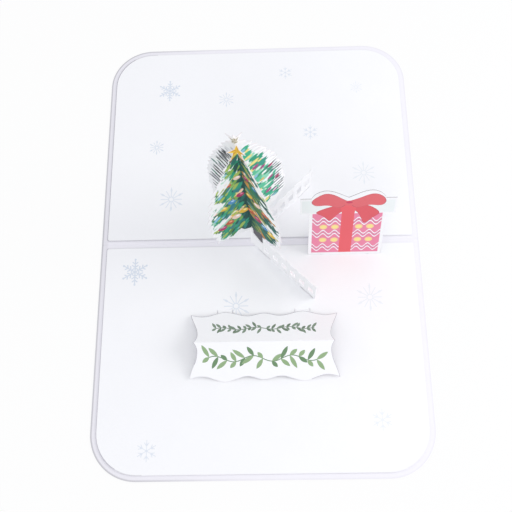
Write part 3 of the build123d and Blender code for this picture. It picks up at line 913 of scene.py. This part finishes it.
# %% Print of the far sheet
rng = np.random.default_rng(34)
FAR = (FAR_WIDE, FAR_HEMS[0])
MINTS = (EMERALD, "#35B28C", EMERALD, SNOW, "#5CC7A0", "#8FD9BD", "#2F9A86")
far_right = []
for count, spread, fall, length, width, inks, inset in (
    (40, (0.45, 0.9, 30, 88), 8, (5, 10), (0.2, 0.45), (SMOKE, "#E3D3DA", SMOKE), (0.3, 1.5)),
    (24, (0.02, 0.5, 20, 86), 8, (4, 7), (2.0, 4.0), (LIME, LEMON, SNOW, "#BEE69A"), (5, 10)),
    (56, (0.06, 0.76, 14, 80), 10, (5, 10), (3.0, 5.6), MINTS, (3.5, 8)),
    (24, (0.05, 0.66, 14, 78), 8, (3, 7), (1.8, 3.4), (SNOW, "#DDF2E6", LEMON, SNOW, SKY), (4, 8)),
    (34, (0.5, 0.98, 14, 48), 10, (6, 10), (0.5, 1.2), (SLATE, TEAL, CHARCOAL, SPINE), (0.6, 3.0)),
    (8, (0.3, 0.75, 18, 56), 6, (3.0, 5.0), (2.2, 3.4), (BERRY, "#E9C3DA", GOLD, "#A94A86"), (3, 6)),
):
    roots = scattered(rng, FAR, count, *spread)
    far_right += brushed(rng, FAR, roots, fall, length, width, inks, inset, 0.04)
far_left = []
for count, spread, fall, length, width, inks, inset in (
    (50, (0.05, 0.85, 30, 88), -20, (5, 9), (2.0, 4.0), (SMOKE, "#E3E3E8", SNOW, SNOW), (1.5, 4.0)),
    (58, (0.1, 0.8, 14, 72), -22, (5, 10), (1.0, 2.4), (CHARCOAL, SLATE, CHARCOAL, TEAL), (0.8, 5.0)),
    (40, (0.1, 0.9, 14, 80), -22, (3, 7), (0.5, 1.1), (ASH, SNOW, SNOW), (1.0, 4.0)),
):
    roots = scattered(rng, FAR, count, *spread)
    far_left += brushed(rng, FAR, roots, fall, length, width, inks, inset, 0.04)
print("strokes:", len(near_left), len(near_right), len(far_left), len(far_right))

# %% Stand the tree sheets up
CREASE_X, CREASE_Y = -3.57285, 0.52675  # a sheet's crease, just inside the strut's own


def faceted(radius, inner, x, y, lit, shaded):
    """Star whose ten facets, each from the middle to a tip and a notch, are lit by turns."""
    points = star(radius, inner, x, y)
    facets = [np.array([(x, y), points[k], points[(k + 1) % 10]]) for k in range(10)]
    return [(facet, shaded if k % 2 else lit) for k, facet in enumerate(facets)]


def tree_sheet(
    name, node, side, widest, hem_rises, left_azimuth, bow, lean, left, right, star_size, star_inks,
):
    """Cut, fold and lean one tree sheet, and put it in the scene.

    In plan the sheet runs straight to the crease, straight on along the strut's leg, and then
    round an arc. The height of a point is its height over the strut, and above the bend the
    whole plan moves by the lean times that height.
    """
    glue, tall, bend = 9.5, 26.0, 5.0
    reach = widest + TUFT_DEPTH
    leg = math.radians(side * LEG)
    outer = math.radians(left_azimuth)
    radius = (reach - glue) / math.radians(bow)
    turn = leg + np.radians(bow) * np.arange(9) / 8
    centre = glue * np.array([math.cos(leg), math.sin(leg)])
    centre = centre + radius * np.array([-math.sin(leg), math.cos(leg)])
    arc = centre + radius * np.stack([np.sin(turn), -np.cos(turn)], 1)
    path = np.concatenate([[(reach * math.cos(outer), reach * math.sin(outer)), (0, 0)], arc])
    chord = leg + math.radians(bow) * (reach - glue) / (2 * reach)
    rise = np.array([lean[0], lean[1], 1.0])
    halves = []
    for azimuth in (outer, chord):
        heading = np.array([math.cos(azimuth), math.sin(azimuth), 0.0])
        across = unit(np.cross(unit(rise), np.cross(heading, rise)))
        halves.append((np.linalg.norm(across - rise * across[2]), across[2]))
    outline = tree_half(widest, hem_rises[1])
    outline = np.concatenate([outline, (tree_half(widest, hem_rises[0]) * (-1, 1))[::-1][1:-1]])
    tongue = np.array([(1.4, 5.4), (1.4, -12.9), (2.5, -14), (8.4, -14), (9.5, -12.9), (9.5, 5.4)])
    top = TREE_HEIGHT - STAR
    # Painted shade on the tongue, by the strut: a dark line under a grey patch.
    tongue_shade = [(box(1.2, -6.6, 9.8, 6), "#262029"), (box(1.2, -5.9, 9.8, 6), "#5C5960")]
    shapes = tongue_shade + mirrored(left) + right + faceted(*star_size, 0, top, *star_inks)
    bends = np.concatenate([[0.0], glue + (reach - glue) * np.arange(9) / 8])
    creases = [((mark, -20), (mark, 100)) for mark in bends] + [((-40, bend), (40, bend))]
    loops = [outline, star(STAR, STAR_INNER, 0, top), tongue]
    flat, triangles, ink = net(loops, shapes, creases=creases)
    u, v = flat.T
    marks = np.concatenate([[-reach, 0.0], glue + (reach - glue) * np.arange(9) / 8])
    plan_marks = path @ np.array([math.cos(chord), math.sin(chord)])
    inner = np.interp(u * halves[1][0], plan_marks[1:], marks[1:])
    along = np.where(u < 0, u * halves[0][0], inner)
    slope = np.where(u < 0, -u * halves[0][1], u * halves[1][1])
    over = slope + (v - bend) / np.linalg.norm(rise)
    plan, normal, _ = fold(path, along + reach)
    base = np.array([CREASE_X, side * CREASE_Y])
    plan = plan + base + np.maximum(over, 0)[:, None] * rise[:2]
    place = np.column_stack([plan, over + PAGE + tall])
    offset = np.column_stack([normal, np.zeros(len(flat))])
    sheet = sheet_mesh(
        name, flat, triangles, place, offset, ink_table(shapes)[ink], [bough_paper, pale_edge],
    )
    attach(sheet, "root")
    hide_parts(node)


tree_sheet(
    "tree_near", "tree_front", -1, NEAR_WIDE, NEAR_HEMS, 202.0, 11.0, (-0.034, 0.0),
    near_left, near_right, (4.8, 2.2), ("#F2CE4A", "#D79F2C"),
)
# The far star's pale grey and khaki facets are painted shade: the star as it looks in the far sheet's shade.
tree_sheet(
    "tree_far", "tree_back", 1, FAR_WIDE, FAR_HEMS, 138.5, 6.0, (-0.05, 0.038),
    far_left, far_right, (3.0, 1.5), ("#D5D2C6", "#A8A391"),
)

# %% [markdown]
# ## Table, light and camera
#
# The card lies on a plain white table. A soft lamp stands low at the right, a weaker and larger
# one fills in from the front, and the world lights from all round, so the left half of the pages
# is a little darker. A brighter background would light the card too, so table and world are
# white only for rays that look at them. The camera looks steeply down from the front.

# %% Table
def background_rays(start):
    """1 for a ray from the lens, a gloss or a clear body, else 0: the three's sum, at most 1."""
    rays = start.node("ShaderNodeLightPath").outputs
    looks = [Wire(start.tree, rays[f"Is {kind} Ray"]) for kind in ("Camera", "Glossy", "Transmission")]
    return (looks[0] + looks[1] + looks[2]).math("MINIMUM", 1.0)


floor_mesh = bpy.data.meshes.new("table")
corners = [(-4, -4, -0.0003), (4, -4, -0.0003), (4, 4, -0.0003), (-4, 4, -0.0003)]
floor_mesh.from_pydata(corners, [], [(0, 1, 2, 3)])
floor = bpy.data.objects.new("table", floor_mesh)
bpy.context.scene.collection.objects.link(floor)
table, shader, start = new_material("white table")
shader.inputs["Base Color"].default_value = (0.86, 0.86, 0.87, 1)
shader.inputs["Roughness"].default_value = 0.9
glow = start.node("ShaderNodeEmission", Color=(1, 1, 1, 1), Strength=1.0)
mixed = start.node("ShaderNodeMixShader", _0=background_rays(start) * 0.9)
start.tree.links.new(shader.outputs[0], mixed.inputs[1])
start.tree.links.new(glow.outputs[0], mixed.inputs[2])
output = table.node_tree.nodes["Material Output"]
start.tree.links.new(mixed.outputs[0], output.inputs["Surface"])
floor_mesh.materials.append(table)

# %% World
world = bpy.data.worlds.new("studio")
bpy.context.scene.world = world
world.use_nodes = True
sky = Wire(world.node_tree, None)
background = world.node_tree.nodes["Background"]
shade = background_rays(sky).mix((0.84, 0.85, 0.87, 1), (1.0, 1.0, 1.0, 1))
link(sky, shade, background.inputs["Color"])
background.inputs["Strength"].default_value = 1.0


# %% Lamps
def lamp(name, place, aim, size, power, tint):
    data = bpy.data.lights.new(name, "AREA")
    data.shape = "DISK"
    data.size = size
    data.energy = power
    data.color = tint
    body = bpy.data.objects.new(name, data)
    body.location = place
    body.rotation_euler = (Vector(aim) - Vector(place)).to_track_quat("-Z", "Y").to_euler()
    body.visible_camera = False
    bpy.context.scene.collection.objects.link(body)


lamp("window", (0.49, -0.01, 0.31), (0.02, 0.0, 0.0), 0.34, 0.98, (1.0, 0.99, 0.97))
lamp("front fill", (-0.1, -0.6, 0.6), (0.0, 0.0, 0.02), 0.6, 0.75, (1.0, 1.0, 1.0))
print("lamps:", [(light.name, round(light.energy, 2)) for light in bpy.data.lights])

# %% Camera
pitch, yaw, roll = math.radians(70.0), math.radians(-4.278), math.radians(-5.219)
ahead = Vector((math.sin(yaw) * math.cos(pitch), math.cos(yaw) * math.cos(pitch), -math.sin(pitch)))
level_right = Vector((math.cos(yaw), -math.sin(yaw), 0))
level_up = level_right.cross(ahead)
right = math.cos(roll) * level_right + math.sin(roll) * level_up
up = -math.sin(roll) * level_right + math.cos(roll) * level_up
eye = bpy.data.cameras.new("eye")
eye.sensor_width = 36.0
eye.lens = 36.0 * 746.8 / 512
camera = bpy.data.objects.new("camera", eye)
bpy.context.scene.collection.objects.link(camera)
turn = np.eye(4)
turn[:3, 0], turn[:3, 1], turn[:3, 2] = right, up, -ahead
turn[:3, 3] = np.array((8.749, -152.275, 396.866)) * MM
camera.matrix_world = Matrix(turn.tolist())
bpy.context.scene.camera = camera
bpy.context.scene.view_settings.view_transform = "Standard"
print("lens:", round(eye.lens, 2), "mm")
